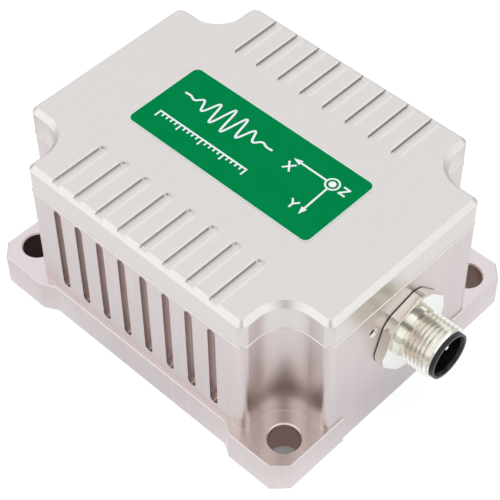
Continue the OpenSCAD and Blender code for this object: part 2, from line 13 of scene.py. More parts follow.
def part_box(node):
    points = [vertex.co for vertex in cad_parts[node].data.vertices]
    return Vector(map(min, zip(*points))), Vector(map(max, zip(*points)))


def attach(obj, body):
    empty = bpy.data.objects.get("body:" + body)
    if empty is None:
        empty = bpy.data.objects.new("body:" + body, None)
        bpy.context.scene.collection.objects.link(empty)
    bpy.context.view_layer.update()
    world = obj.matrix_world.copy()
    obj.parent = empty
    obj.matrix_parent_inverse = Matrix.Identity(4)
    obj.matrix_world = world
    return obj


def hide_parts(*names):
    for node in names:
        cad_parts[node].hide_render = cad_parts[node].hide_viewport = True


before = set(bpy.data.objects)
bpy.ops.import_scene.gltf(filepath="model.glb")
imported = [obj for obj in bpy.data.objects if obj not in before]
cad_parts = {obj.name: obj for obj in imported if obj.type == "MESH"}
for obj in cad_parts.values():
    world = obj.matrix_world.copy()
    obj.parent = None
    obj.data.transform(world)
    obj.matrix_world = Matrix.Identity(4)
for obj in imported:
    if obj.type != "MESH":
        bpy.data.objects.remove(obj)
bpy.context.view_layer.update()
scene = bpy.context.scene

MM = 0.001


# Sizes that several sections share

cover_low, cover_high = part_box("top_cover")
rim_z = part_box("base_housing")[1].z
HALF_L = cover_high.x / MM
HALF_W = cover_high.y / MM
TOP_Z = cover_high.z / MM
HOLE_X = 37.2
HOLE_Y = 29.1
SLOT_W = 2.1
SLOT_PITCH = 6.3
SLOT_COUNT = 8
ROW_HALF = SLOT_COUNT * SLOT_PITCH / 2

# The connector's axis, and the outside of the wall that it stands on
seal_low, seal_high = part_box("connector_seal")
axis_y = (seal_low.y + seal_high.y) / 2
axis_z = (seal_low.z + seal_high.z) / 2
wall_x = seal_low.x
THREAD_R = 6.0
ROOT_R = 5.46


# Shader building

def add_node(tree, kind, inputs=None, **settings):
    """Adds a shader node, with its settings and its input values by name or number."""
    node = tree.nodes.new(kind)
    for name, value in settings.items():
        setattr(node, name, value)
    for key, value in (inputs or {}).items():
        node.inputs[key].default_value = value
    return node


def emptied(owner, output_kind):
    """The emptied node tree of a material or a world, and its new output node."""
    owner.use_nodes = True
    owner.node_tree.nodes.clear()
    return owner.node_tree, add_node(owner.node_tree, output_kind)


def colour(rgb):
    return (rgb[0], rgb[1], rgb[2], 1.0)


def noise(tree, coordinates, size_mm, detail):
    """Noise whose blobs are about size_mm across, as a value from 0 to 1."""
    node = add_node(tree, "ShaderNodeTexNoise", {"Scale": 1 / (size_mm * MM), "Detail": detail})
    tree.links.new(coordinates, node.inputs["Vector"])
    return node.outputs[0]


def split(tree, vector):
    """The outputs X, Y and Z of a vector."""
    node = add_node(tree, "ShaderNodeSeparateXYZ")
    tree.links.new(vector, node.inputs[0])
    return node.outputs


def mapped(tree, value, low, high, to_low, to_high):
    """The value with the span from low to high mapped to to_low to to_high, held at the ends."""
    node = add_node(tree, "ShaderNodeMapRange", {1: low, 2: high, 3: to_low, 4: to_high})
    tree.links.new(value, node.inputs[0])
    return node.outputs[0]


def mapped_mm(tree, value, low, high, to_low, to_high):
    """As mapped, for a value in metres and a span in millimetres."""
    return mapped(tree, value, low * MM, high * MM, to_low, to_high)


def mixed(tree, factor, low, high):
    """A colour between low and high, each an RGB tuple or another node's output."""
    node = add_node(tree, "ShaderNodeMix", data_type="RGBA")
    tree.links.new(factor, node.inputs[0])
    for socket, value in ((node.inputs[6], low), (node.inputs[7], high)):
        if isinstance(value, tuple):
            socket.default_value = colour(value)
        else:
            tree.links.new(value, socket)
    return node.outputs[2]


def mixed_shader(tree, factor, low, high):
    """A shader between two nodes' shaders."""
    node = add_node(tree, "ShaderNodeMixShader")
    for socket, output in zip(node.inputs, (factor, low, high)):
        tree.links.new(output, socket)
    return node.outputs[0]


def calculated(tree, operation, first, second=0.0):
    """The result of an operation on two values, each a float or another node's output."""
    node = add_node(tree, "ShaderNodeMath", operation=operation)
    for socket, value in zip(node.inputs, (first, second)):
        if isinstance(value, float):
            socket.default_value = value
        else:
            tree.links.new(value, socket)
    return node.outputs[0]


def product(tree, first, *others):
    """The product of several values."""
    for other in others:
        first = calculated(tree, "MULTIPLY", first, other)
    return first


def absolute(tree, value):
    return calculated(tree, "ABSOLUTE", value)


def hypotenuse(tree, first, second):
    """The longest side of a right triangle, from its other two."""
    squares = [calculated(tree, "POWER", side, 2.0) for side in (first, second)]
    return calculated(tree, "SQRT", calculated(tree, "ADD", *squares))


def between_mm(tree, value, low, high):
    """1 where a value in metres lies between two in millimetres, or else 0."""
    above = calculated(tree, "GREATER_THAN", value, low * MM)
    return product(tree, above, calculated(tree, "LESS_THAN", value, high * MM))


def facing(tree, direction, towards):
    """The cosine of the angle between a direction and a fixed one."""
    node = add_node(tree, "ShaderNodeVectorMath", {1: tuple(towards)}, operation="DOT_PRODUCT")
    tree.links.new(direction, node.inputs[0])
    return node.outputs["Value"]


# The span of noise values that a finish uses, and that of a normal's Z as a face turns upwards
NOISE_SPAN = (0.3, 0.7)
UPWARD_SPAN = (0.9, 0.98)
CLOUD_DETAIL = 3.0
GRAIN_DETAIL = 2.0
GRAIN_DEPTH = 0.02
MARK_DEPTH = 0.003
EDGE_SAMPLES = 8


def finish(name, low, high, roughness, metallic=0.0, specular=0.5, cloud_mm=6.0, grain_mm=0.25,
           line_length=1.0, bump=0.0, edge_mm=0.0, sideways=0.0, upward=None, marks=None, patches=()):
    """A surface finish that varies between two colours and two roughnesses.

    line_length stretches the cloud and the grain upwards into lines. edge_mm rounds the look of sharp edges.
    sideways is how much more upright walls scatter to the side than up and down. upward is the colour and the
    roughness of faces that look up: its colour paints light on the tops, and the roughness is their own;
    marks builds the height of tool marks on them. patches are pairs of a function that builds a share from 0
    to 1 and the colour that the share mixes in, here painted shade and painted highlights.
    """
    material = bpy.data.materials.new(name)
    tree, output = emptied(material, "ShaderNodeOutputMaterial")
    constants = {"Metallic": metallic, "Specular IOR Level": specular}
    shader = add_node(tree, "ShaderNodeBsdfPrincipled", constants)
    tree.links.new(shader.outputs["BSDF"], output.inputs["Surface"])
    if sideways:
        shader.inputs["Anisotropic"].default_value = sideways
        around = add_node(tree, "ShaderNodeTangent", direction_type="RADIAL", axis="Z")
        tree.links.new(around.outputs[0], shader.inputs["Tangent"])

    place = add_node(tree, "ShaderNodeTexCoord").outputs["Object"]
    stretch = add_node(tree, "ShaderNodeVectorMath", {1: (1.0, 1.0, 1 / line_length)}, operation="MULTIPLY")
    tree.links.new(place, stretch.inputs[0])
    cloud = noise(tree, stretch.outputs["Vector"], cloud_mm, CLOUD_DETAIL)
    grain = noise(tree, stretch.outputs["Vector"], grain_mm, GRAIN_DETAIL)
    base = mixed(tree, mapped(tree, cloud, *NOISE_SPAN, 0.0, 1.0), low, high)
    rough = mapped(tree, grain, *NOISE_SPAN, *roughness)
    if upward:
        up_colour, up_roughness = upward
        normal = split(tree, add_node(tree, "ShaderNodeNewGeometry").outputs["True Normal"])
        looks_up = mapped(tree, normal["Z"], *UPWARD_SPAN, 0.0, 1.0)
        # Painted light: faces that look up take a lighter colour
        base = mixed(tree, looks_up, base, up_colour)
        more = calculated(tree, "SUBTRACT", up_roughness, rough)
        rough = calculated(tree, "ADD", rough, product(tree, more, looks_up))
    for build_share, patch_colour in patches:
        base = mixed(tree, build_share(tree, place), base, patch_colour)
    tree.links.new(base, shader.inputs["Base Color"])
    tree.links.new(rough, shader.inputs["Roughness"])

    if bump:
        relief = add_node(tree, "ShaderNodeBump", {"Strength": bump, "Distance": GRAIN_DEPTH * MM})
        tree.links.new(grain, relief.inputs["Height"])
        if edge_mm:
            edge = add_node(tree, "ShaderNodeBevel", {"Radius": edge_mm * MM}, samples=EDGE_SAMPLES)
            tree.links.new(edge.outputs[0], relief.inputs["Normal"])
        if marks:
            grained = relief.outputs["Normal"]
            relief = add_node(tree, "ShaderNodeBump", {"Distance": MARK_DEPTH * MM})
            tree.links.new(looks_up, relief.inputs["Strength"])
            tree.links.new(marks(tree, place), relief.inputs["Height"])
            tree.links.new(grained, relief.inputs["Normal"])
        tree.links.new(relief.outputs["Normal"], shader.inputs["Normal"])
    return material


# Places on the object that a finish treats in their own way: tool marks, painted shade and painted highlights

MARK_PITCH = 0.8
# Width over which the painted shade in the thread's roots fades out
ROOT_SPAN = 0.2
GROOVE_L = 14.6
GROOVE_DEPTH = 0.45
GROOVE_SHADE_W = 1.1
# Width of the painted highlight beside each edge of a groove
HIGHLIGHT_W = 0.8
# The grooves' painted shade and painted highlights end this far in from the cover's edge
COVER_BREAK = 1.6
# A face counts as level with a height up to this far from it
LEVEL = 0.05
# Depths at which the slots' shade is full and gone, and the depth at which a slot begins
SLOT_SHADE = (0.2, 1.3)
SLOT_MOUTH = 0.02
# The shade lies between this height and this far under the cover's underside
SHADE_LOW = 9.0
SHADE_GAP = 0.5


def spot_face_rings(tree, place):
    """Height of the rings that a cutter leaves round each mounting hole."""
    at = split(tree, place)
    off_x = calculated(tree, "SUBTRACT", absolute(tree, at["X"]), HOLE_X * MM)
    off_y = calculated(tree, "SUBTRACT", absolute(tree, at["Y"]), HOLE_Y * MM)
    turn = product(tree, hypotenuse(tree, off_x, off_y), 2 * math.pi / (MARK_PITCH * MM))
    return calculated(tree, "SINE", turn)


def thread_root_shade(tree, place):
    """Painted shade in the thread's roots: from 0 on its crests to 1 in its roots."""
    at = split(tree, place)
    off_y = calculated(tree, "SUBTRACT", at["Y"], axis_y)
    off_z = calculated(tree, "SUBTRACT", at["Z"], axis_z)
    return mapped_mm(tree, hypotenuse(tree, off_y, off_z), ROOT_R, ROOT_R + ROOT_SPAN, 1.0, 0.0)


def groove_places(tree, place, height):
    """The way across from the nearest groove's middle in millimetres, and 1 by grooves at a height or 0."""
    at = split(tree, place)
    along = product(tree, at["X"], 1 / MM)
    # With an even number of grooves, their middles lie half a pitch past the multiples of the pitch
    wrapped = calculated(tree, "FLOORED_MODULO", along, SLOT_PITCH)
    across = calculated(tree, "SUBTRACT", wrapped, SLOT_PITCH / 2)
    near = product(
        tree,
        calculated(tree, "LESS_THAN", absolute(tree, along), ROW_HALF),
        between_mm(tree, absolute(tree, at["Y"]), HALF_W - GROOVE_L + SLOT_W / 2, HALF_W - COVER_BREAK),
        between_mm(tree, at["Z"], height - LEVEL, height + LEVEL),
    )
    return across, near


def groove_shade(tree, place):
    """From 1 on a groove's floor at its -X wall to 0 about its middle."""
    across, near = groove_places(tree, place, TOP_Z - GROOVE_DEPTH)
    shade = mapped(tree, across, -SLOT_W / 2, GROOVE_SHADE_W - SLOT_W / 2, 1.0, 0.0)
    return product(tree, shade, near)


def groove_highlights(tree, place):
    """Painted highlight along a groove's long edges: from 1 at the edges to 0 a little beside them."""
    across, near = groove_places(tree, place, TOP_Z)
    edge_highlight = mapped(tree, absolute(tree, across), SLOT_W / 2, SLOT_W / 2 + HIGHLIGHT_W, 1.0, 0.0)
    return product(tree, edge_highlight, near)


def slot_shade(tree, place):
    """From 1 in the mouth of a slot to 0 near its floor."""
    at = split(tree, place)
    depth = calculated(tree, "SUBTRACT", cover_high.y, absolute(tree, at["Y"]))
    return product(
        tree,
        mapped_mm(tree, depth, *SLOT_SHADE, 1.0, 0.0),
        calculated(tree, "GREATER_THAN", depth, SLOT_MOUTH * MM),
        calculated(tree, "LESS_THAN", absolute(tree, at["X"]), ROW_HALF * MM),
        between_mm(tree, at["Z"], SHADE_LOW, cover_low.z / MM - SHADE_GAP),
    )


# Finishes

BASE_METAL = finish(
    "base_aluminium", (0.7, 0.603, 0.567), (0.74, 0.637, 0.601), (0.31, 0.36), metallic=1.0,
    cloud_mm=1.0, line_length=20.0, bump=0.06, edge_mm=0.1, sideways=0.65,
    # Faces that look up: a lighter colour that paints light on them, and their own roughness
    upward=((0.76, 0.67, 0.645), 0.19), marks=spot_face_rings,
    patches=[(slot_shade, (0.5, 0.43, 0.405))],
)
COVER_METAL = finish(
    "cover_aluminium", (0.75, 0.685, 0.632), (0.77, 0.705, 0.652), (0.28, 0.32), metallic=1.0,
    cloud_mm=1.2, bump=0.06,
    # Painted shade on the grooves' floors and painted highlights along their edges
    patches=[(groove_shade, (0.54, 0.49, 0.455)), (groove_highlights, (0.87, 0.8, 0.74))],
)
NICKEL = finish(
    "nickel_brass", (0.885, 0.855, 0.77), (0.915, 0.885, 0.805), (0.14, 0.19), metallic=1.0, cloud_mm=1.5,
    # Painted shade, darker in the thread's roots
    patches=[(thread_root_shade, (0.8, 0.75, 0.66))],
)
CONTACT = finish(
    "contact_metal", (0.93, 0.91, 0.88), (0.97, 0.95, 0.92), (0.3, 0.4), metallic=1.0, cloud_mm=1.0,
)
STEEL = finish("screw_steel", (0.5, 0.5, 0.51), (0.62, 0.62, 0.63), (0.25, 0.35), metallic=1.0, cloud_mm=1.0)
CAN = finish("can_metal", (0.6, 0.6, 0.62), (0.72, 0.72, 0.74), (0.2, 0.3), metallic=1.0, cloud_mm=1.0)
RUBBER = finish("seal_rubber", (0.012, 0.012, 0.013), (0.022, 0.021, 0.021), (0.5, 0.65))
CARRIER = finish(
    "carrier_plastic", (0.006, 0.0045, 0.0045), (0.011, 0.008, 0.008), (0.28, 0.4),
    specular=0.4, cloud_mm=2.0,
)
IVORY = finish("ivory_plastic", (0.74, 0.7, 0.6), (0.8, 0.77, 0.68), (0.4, 0.5), cloud_mm=2.0)
LAMINATE = finish("board_laminate", (0.01, 0.09, 0.035), (0.02, 0.14, 0.055), (0.3, 0.42), cloud_mm=3.0)
CHIP = finish("chip_plastic", (0.014, 0.014, 0.015), (0.026, 0.026, 0.027), (0.45, 0.6), cloud_mm=0.6)
CERAMIC = finish("chip_ceramic", (0.42, 0.3, 0.19), (0.52, 0.4, 0.27), (0.4, 0.5), cloud_mm=0.5)
FERRITE = finish("ferrite", (0.03, 0.03, 0.032), (0.06, 0.06, 0.063), (0.5, 0.65), cloud_mm=0.5)
FILM = finish("label_backing", (0.72, 0.76, 0.72), (0.78, 0.81, 0.78), (0.4, 0.5), cloud_mm=4.0)
GREEN = finish(
    "label_green", (0.0006, 0.213, 0.056), (0.0014, 0.223, 0.06), (0.4, 0.5), specular=0.0, cloud_mm=5.0,
)
WHITE_INK = finish(
    "label_ink", (0.82, 0.84, 0.82), (0.88, 0.89, 0.88), (0.4, 0.5), specular=0.1, cloud_mm=1.0,
)
LEAD_COLOURS = {
    "lead_brown": ((0.1, 0.04, 0.015), (0.15, 0.06, 0.025)),
    "lead_white": ((0.74, 0.74, 0.7), (0.82, 0.82, 0.79)),
    "lead_blue": ((0.01, 0.05, 0.3), (0.02, 0.08, 0.4)),
    "lead_black": ((0.01, 0.01, 0.01), (0.02, 0.02, 0.02)),
}
NODE_FINISHES = {
    "base_housing": BASE_METAL, "top_cover": COVER_METAL, "cover_gasket": RUBBER, "cover_screws": STEEL,
    "label": GREEN, "connector_shell": NICKEL, "connector_seal": RUBBER, "connector_insert": CARRIER,
    "contact_pins": CONTACT, "connector_locknut": NICKEL, "wire_plug": IVORY, "board_header": IVORY,
    "circuit_board": LAMINATE, "board_screws": STEEL, "accelerometer": CERAMIC, "microcontroller": CHIP,
    "crystal": CAN, "bus_transceiver": CHIP, "voltage_regulator": CHIP, "power_inductor": FERRITE,
    "bulk_capacitors": CAN, "surge_diodes": CHIP, "ceramic_capacitors": CERAMIC, "chip_resistors": CHIP,
}
for name, (low, high) in LEAD_COLOURS.items():
    NODE_FINISHES[name] = finish(name, low, high, (0.35, 0.5), cloud_mm=1.0)
for name, material in NODE_FINISHES.items():
    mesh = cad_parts[name].data
    mesh.materials.clear()
    mesh.materials.append(material)


# Mesh building

def make_piece(name, mesh_builder, material, sharp_degrees=30):
    """Makes a piece of the object from a bmesh in metres."""
    bmesh.ops.recalc_face_normals(mesh_builder, faces=mesh_builder.faces)
    mesh = bpy.data.meshes.new(name)
    mesh_builder.to_mesh(mesh)
    mesh_builder.free()
    mesh.materials.append(material)
    for face in mesh.polygons:
        face.use_smooth = True
    mesh.set_sharp_from_angle(angle=math.radians(sharp_degrees))
    piece = bpy.data.objects.new(name, mesh)
    scene.collection.objects.link(piece)
    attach(piece, "root")
    return piece


def add_loft(mesh_builder, loops, capped=False):
    """Joins loops of as many points in a row. The ends are capped, or else the last loop meets the first."""
    rows = [[mesh_builder.verts.new(point) for point in loop] for loop in loops]
    next_rows = rows[1:] if capped else rows[1:] + rows[:1]
    for row, after in zip(rows, next_rows):
        for j in range(len(row)):
            k = (j + 1) % len(row)
            mesh_builder.faces.new((row[j], row[k], after[k], after[j]))
    if capped:
        mesh_builder.faces.new(rows[0])
        mesh_builder.faces.new(rows[-1])


def arc(x, y, radius, start, end, steps=12):
    """Points on an arc, with the angles in degrees."""
    turns = [math.radians(start + (end - start) * k / steps) for k in range(steps + 1)]
    return [(x + radius * math.cos(a), y + radius * math.sin(a)) for a in turns]


def circle(x, y, radius, steps=40):
    """Points on a circle, each once."""
    return arc(x, y, radius, 0, 360, steps)[:-1]


def at_height(outline, height):
    """An outline of x, y points in millimetres, at a height in metres."""
    return [(x * MM, y * MM, height) for x, y in outline]


def add_plate(mesh_builder, outline, low, high):
    """A flat plate over an outline, between two heights."""
    add_loft(mesh_builder, [at_height(outline, low), at_height(outline, high)], capped=True)


def add_ring(mesh_builder, x, y, outer, inner, low, high):
    """A flat ring round x, y, between two heights."""
    corners = ((outer, low), (outer, high), (inner, high), (inner, low))
    add_loft(mesh_builder, [at_height(circle(x, y, radius), height) for radius, height in corners])


def add_stroke(mesh_builder, points, width, low, high):
    """A flat line of one width through x, y points, between two heights."""
    loops = []
    for k, point in enumerate(points):
        before = Vector(points[max(k - 1, 0)])
        after = Vector(points[min(k + 1, len(points) - 1)])
        along = (after - before).normalized()
        side = Vector((-along.y, along.x)) * width / 2
        left, right = Vector(point) + side, Vector(point) - side
        loops.append(at_height([left], low) + at_height([left, right], high) + at_height([right], low))
    add_loft(mesh_builder, loops, capped=True)


# Label: a pale film, a green field just inside its edge and a white print

label_low, label_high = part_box("label")
FILM_CORNER_R = 1.6
FIELD_INSET = 0.2
FIELD_RISE = 0.04
PRINT_RISE = 0.02
field_top = label_high.z - PRINT_RISE * MM
film_top = field_top - FIELD_RISE * MM


def label_outline(inset):
    """The label's outline with round corners, drawn in by inset."""
    radius = FILM_CORNER_R - inset
    x = (label_high.x - label_low.x) / 2 / MM - FILM_CORNER_R
    y = (label_high.y - label_low.y) / 2 / MM - FILM_CORNER_R
    points = []
    for turn, sx, sy in ((0, 1, 1), (90, -1, 1), (180, -1, -1), (270, 1, -1)):
        points += arc(sx * x, sy * y, radius, turn, turn + 90, 8)
    return points


film = bmesh.new()
add_plate(film, label_outline(0.0), label_low.z, film_top)
label_film = make_piece("label_film", film, FILM)
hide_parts("label")
field = bmesh.new()
add_plate(field, label_outline(FIELD_INSET), film_top, field_top)
make_piece("label_field", field, GREEN)

# The axis sign: a ring with a dot, two arrows and three letters
ink_span = (field_top, label_high.z)
SIGN_X = 18.6
SIGN_Y = 4.65
RING_OUT = 1.7
RING_IN = 1.3
DOT_R = 0.8
X_TIP = (8.1, 4.7)
Y_TIP = (18.9, -5.9)
SHAFT_W = 0.45
HEAD_L = 2.0
HEAD_W = 1.4
LETTER_SIZE = 1.06
LETTER_W = 0.42
# Strokes of a letter lie this far apart in height where they cross
STROKE_STEP = 0.002
# The middle of each letter, and its strokes
LETTERS = {
    "x": ((8.9, 2.4), [[(-0.9, -1.1), (0.9, 1.1)], [(-0.9, 1.1), (0.9, -1.1)]]),
    "y": ((16.3, -4.6), [[(-0.9, 1.1), (0, 0)], [(0.9, 1.1), (0, 0)], [(0, 0.1), (0, -1.1)]]),
    "z": ((21.7, 4.7), [
        [(-0.85, 0.9), (0.85, 0.9)], [(0.62, 0.8), (-0.62, -0.8)], [(-0.85, -0.9), (0.85, -0.9)],
    ]),
}


def add_arrow(mesh_builder, start, tip):
    """An arrow of ink from start to tip."""
    along = (Vector(tip) - Vector(start)).normalized()
    side = Vector((-along.y, along.x)) * HEAD_W / 2
    neck = Vector(tip) - along * HEAD_L
    add_stroke(mesh_builder, [start, neck], SHAFT_W, *ink_span)
    add_plate(mesh_builder, [tip, neck + side, neck - side], *ink_span)


ink = bmesh.new()
add_ring(ink, SIGN_X, SIGN_Y, RING_OUT, RING_IN, *ink_span)
add_plate(ink, circle(SIGN_X, SIGN_Y, DOT_R), *ink_span)
add_arrow(ink, (SIGN_X - RING_OUT, SIGN_Y), X_TIP)
add_arrow(ink, (SIGN_X, SIGN_Y - RING_OUT), Y_TIP)
for (x, y), strokes in LETTERS.values():
    for k, stroke in enumerate(strokes):
        points = [(x + LETTER_SIZE * px, y + LETTER_SIZE * py) for px, py in stroke]
        add_stroke(ink, points, LETTER_W, ink_span[0], ink_span[1] - k * STROKE_STEP * MM)

# A plain vibration trace with a scale under it
TRACE_START = -21.5
TRACE_L = 25.0
TRACE_Y = 3.2
TRACE_SWING = 3.4
TRACE_WAVES = 7
TRACE_STEPS = 160
TRACE_W = 0.5
SCALE_Y = -4.2
SCALE_W = 0.4
SCALE_PARTS = 20
LONG_EVERY = 5
LONG_TICK = 1.8
SHORT_TICK = 1.0
trace = []
for k in range(TRACE_STEPS + 1):
    t = k / TRACE_STEPS
    swell = math.sin(math.pi * t) ** 2
    trace.append((TRACE_START + TRACE_L * t,
                  TRACE_Y + TRACE_SWING * swell * math.sin(2 * math.pi * TRACE_WAVES * t)))
add_stroke(ink, trace, TRACE_W, *ink_span)
add_stroke(ink, [(TRACE_START, SCALE_Y), (TRACE_START + TRACE_L, SCALE_Y)], SCALE_W, *ink_span)
for k in range(SCALE_PARTS + 1):
    x = TRACE_START + SCALE_W / 2 + (TRACE_L - SCALE_W) * k / SCALE_PARTS
    tick = SHORT_TICK if k % LONG_EVERY else LONG_TICK
    add_stroke(ink, [(x, SCALE_Y - SCALE_W / 2), (x, SCALE_Y - tick)], SCALE_W, *ink_span)
make_piece("label_print", ink, WHITE_INK)


# Bright cut edge of the housing's rim, which shows as the joint line

NOTCH_R = 6.8
CORNER_R = 1.8
EDGE_IN = 0.1
EDGE_OUT = 0.14
EDGE_H = 0.2


def wall_outline(grow):
    """The housing's notched outline, let out by grow."""
    notch_x = HOLE_X - NOTCH_R
    notch_y = HOLE_Y - NOTCH_R
    quarter = arc(HALF_L - CORNER_R, notch_y - CORNER_R, CORNER_R + grow, 0, 90)
    quarter += arc(HOLE_X, HOLE_Y, NOTCH_R - grow, 270, 180)
    quarter += arc(notch_x - CORNER_R, HALF_W - CORNER_R, CORNER_R + grow, 0, 90)
    points = []
    for sx, sy in ((1, 1), (-1, 1), (-1, -1), (1, -1)):
        part = [(sx * x, sy * y) for x, y in quarter]
        points += part if sx == sy else part[::-1]
    return points


rim = bmesh.new()
rim_section = ((-EDGE_IN, EDGE_H), (EDGE_OUT, EDGE_H), (EDGE_OUT, EDGE_OUT), (0.0, 0.0))
add_loft(rim, [at_height(wall_outline(grow), rim_z - drop * MM) for grow, drop in rim_section])
make_piece("rim_edge", rim, COVER_METAL)


# Floors of the slots in the long walls, which make the slots shallower

SLOT_LOW = 10.4
RIM_LAND = 1.0
SLOT_HIGH = rim_z / MM - RIM_LAND
SLOT_BACK = 2.5
SLOT_SEEN = 1.7
SLOT_FIT = 0.005


def slot_outline(x):
    """The outline of the slot's floor at x, as x, z points."""
    radius = SLOT_W / 2 - SLOT_FIT
    top = arc(x, SLOT_HIGH - SLOT_W / 2, radius, 0, 180)
    return top + arc(x, SLOT_LOW + SLOT_W / 2, radius, 180, 360)


slot_floors = bmesh.new()
for k in range(SLOT_COUNT):
    outline = slot_outline((k - (SLOT_COUNT - 1) / 2) * SLOT_PITCH)
    for side in (-1, 1):
        depths = [side * (HALF_W - depth) for depth in (SLOT_SEEN, SLOT_BACK)]
        loops = [[(x * MM, y * MM, z * MM) for x, z in outline] for y in depths]
        add_loft(slot_floors, loops, capped=True)
make_piece("slot_floors", slot_floors, BASE_METAL)


# Connector shell with a real thread, in place of the plain one

BORE = 4.95
REAR_R = 8.0
TAIL = (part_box("connector_shell")[0].x - wall_x) / MM
TAIL_BEVEL = 0.4
SEAL_T = 0.2
HEX_FRONT = 2.5
HEX_FLAT = 8.9
HEX_TURNED = 9.55
HEX_BEVEL_R = 9.15
HEX_BREAK = 0.05
HEX_TURN = 42.3
SHANK_FRONT = 3.3
RELIEF_R = 5.35
THREAD_BACK = 3.9
THREAD_FRONT = 10.6
THREAD_END_BEVEL = 0.5
PITCH = 1.0
# Shares of one pitch that the thread's crest and each flank take
CREST = 0.125
FLANK = 0.3125
# How far the shell's turned stretches reach into each other
LAP = 0.1
TURN_STEPS = 120


def on_axis(s, radius, angle):
    """The point s millimetres out from the wall, at an angle from +Y towards +Z."""
    return (wall_x + s * MM, axis_y + radius * MM * math.cos(angle), axis_z + radius * MM * math.sin(angle))


def add_turned(mesh_builder, angles, profile):
    """A closed ring: profile gives the s and radius of each corner of the section at an angle."""
    sections = [profile(a) for a in angles]
    loops = []
    for k in range(len(sections[0])):
        loops.append([on_axis(*section[k], a) for a, section in zip(angles, sections)])
    add_loft(mesh_builder, loops)


def hex_radius(angle):
    """The hex flange's outline, with its corners turned round."""
    slant = math.cos(math.radians((math.degrees(angle) - HEX_TURN + 30) % 60 - 30))
    return min(HEX_FLAT / slant, HEX_TURNED)


def hex_section(angle):
    """The hex flange's section, with its corners bevelled in front."""
    side = hex_radius(angle)
    front = min(side, HEX_BEVEL_R)
    side_end = HEX_FRONT - HEX_BREAK - (side - front) / 2
    return [
        (SEAL_T, BORE), (SEAL_T, side), (side_end, side), (HEX_FRONT, front - HEX_BREAK), (HEX_FRONT, BORE),
    ]


SHANK_SECTION = [
    (HEX_FRONT - LAP, BORE), (HEX_FRONT - LAP, THREAD_R), (SHANK_FRONT, THREAD_R),
    (SHANK_FRONT, RELIEF_R), (THREAD_BACK + LAP, RELIEF_R), (THREAD_BACK + LAP, BORE),
]
TAIL_SECTION = [
    (TAIL, BORE), (TAIL, REAR_R - TAIL_BEVEL), (TAIL + TAIL_BEVEL, REAR_R),
    (SEAL_T + LAP, REAR_R), (SEAL_T + LAP, BORE),
]


def thread_radius(s, angle):
    """The thread's surface at a place along the axis."""
    phase = ((s - THREAD_BACK) / PITCH - angle / (2 * math.pi)) % 1
    if phase <= CREST:
        radius = THREAD_R
    elif phase < CREST + FLANK:
        radius = THREAD_R + (ROOT_R - THREAD_R) * (phase - CREST) / FLANK
    elif phase <= 1 - FLANK:
        radius = ROOT_R
    else:
        radius = ROOT_R + (THREAD_R - ROOT_R) * (phase - 1 + FLANK) / FLANK
    return min(radius, THREAD_R - max(0.0, s - THREAD_FRONT + THREAD_END_BEVEL))


def add_thread(mesh_builder, angles):
    """The threaded tube: rows follow the helix and are held at both ends."""
    marks = (0.0, CREST, CREST + FLANK, 1 - FLANK)
    turns = math.ceil((THREAD_FRONT - THREAD_BACK) / PITCH)
    starts = [(k + mark) * PITCH for k in range(-1, turns + 2) for mark in marks]
    columns = []
    for a in angles:
        column = [mesh_builder.verts.new(on_axis(THREAD_BACK, BORE, a))]
        for start in starts:
            s = THREAD_BACK + start + PITCH * a / (2 * math.pi)
            s = min(max(s, THREAD_BACK), THREAD_FRONT)
            column.append(mesh_builder.verts.new(on_axis(s, thread_radius(s, a), a)))
        column.append(mesh_builder.verts.new(on_axis(THREAD_FRONT, BORE, a)))
        columns.append(column)
    rows = len(starts)
    for j, column in enumerate(columns):
        last = j == len(columns) - 1
        after = columns[0] if last else columns[j + 1]
        # After one full turn each row has moved on by one pitch
        shift = len(marks) if last else 0
        for k in range(1, rows - shift):
            mesh_builder.faces.new((column[k], column[k + 1], after[k + 1 + shift], after[k + shift]))
        mesh_builder.faces.new((column[0], column[1], after[1 + shift], after[0]))
        mesh_builder.faces.new((column[rows - shift], column[-1], after[-1], after[rows]))
        mesh_builder.faces.new((column[-1], column[0], after[0], after[-1]))
    # Rows that are held at an end lie on each other there
    same = 0.0001 * MM
    bmesh.ops.remove_doubles(mesh_builder, verts=mesh_builder.verts, dist=same)
    bmesh.ops.dissolve_degenerate(mesh_builder, edges=mesh_builder.edges, dist=same)


even = [2 * math.pi * k / TURN_STEPS for k in range(TURN_STEPS)]
corner_turns = [math.degrees(math.acos(HEX_FLAT / radius)) for radius in (HEX_TURNED, HEX_BEVEL_R)]
hex_corners = [math.radians(HEX_TURN + 60 * k + side * turn)
               for k in range(6) for side in (-1, 1) for turn in corner_turns]
hex_angles = sorted({round(a % (2 * math.pi), 6) for a in even + hex_corners})

shell = bmesh.new()
add_thread(shell, even)
add_turned(shell, hex_angles, hex_section)
add_turned(shell, even, lambda angle: SHANK_SECTION)
add_turned(shell, even, lambda angle: TAIL_SECTION)
threaded_shell = make_piece("threaded_shell", shell, NICKEL, sharp_degrees=12)
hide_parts("connector_shell")


# Thin seal under the flange, drawn in a little from its edge

SEAL_INSET = 0.08
SEAL_FIT = 0.1
SEAL_HOLE_R = REAR_R + SEAL_FIT


def seal_section(angle):
    """The seal's section."""
    outer = hex_radius(angle) - SEAL_INSET
    return [(0.0, SEAL_HOLE_R), (0.0, outer), (SEAL_T, outer), (SEAL_T, SEAL_HOLE_R)]


seal = bmesh.new()
add_turned(seal, hex_angles, seal_section)
flange_seal = make_piece("flange_seal", seal, RUBBER)
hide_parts("connector_seal")


# Pins with solder cups, one of them longer so that it makes contact first

PIN_R = 0.5
CUP_R = 0.85
CUP_L = 3.5
PIN_CIRCLE_R = 3.5
PIN_TURN = 14
LONG_TIP = 11.2
SHORT_TIP = 7.0
TIP_BEVEL_L = 0.1
TIP_BEVEL_R = 0.08
PIN_STEPS = 24


def round_loop(s, y, z, radius, steps=40):
    """A circle s millimetres out from the wall, round a y and z in metres."""
    return [(wall_x + s * MM, y + py * MM, z + pz * MM) for py, pz in circle(0, 0, radius, steps)]


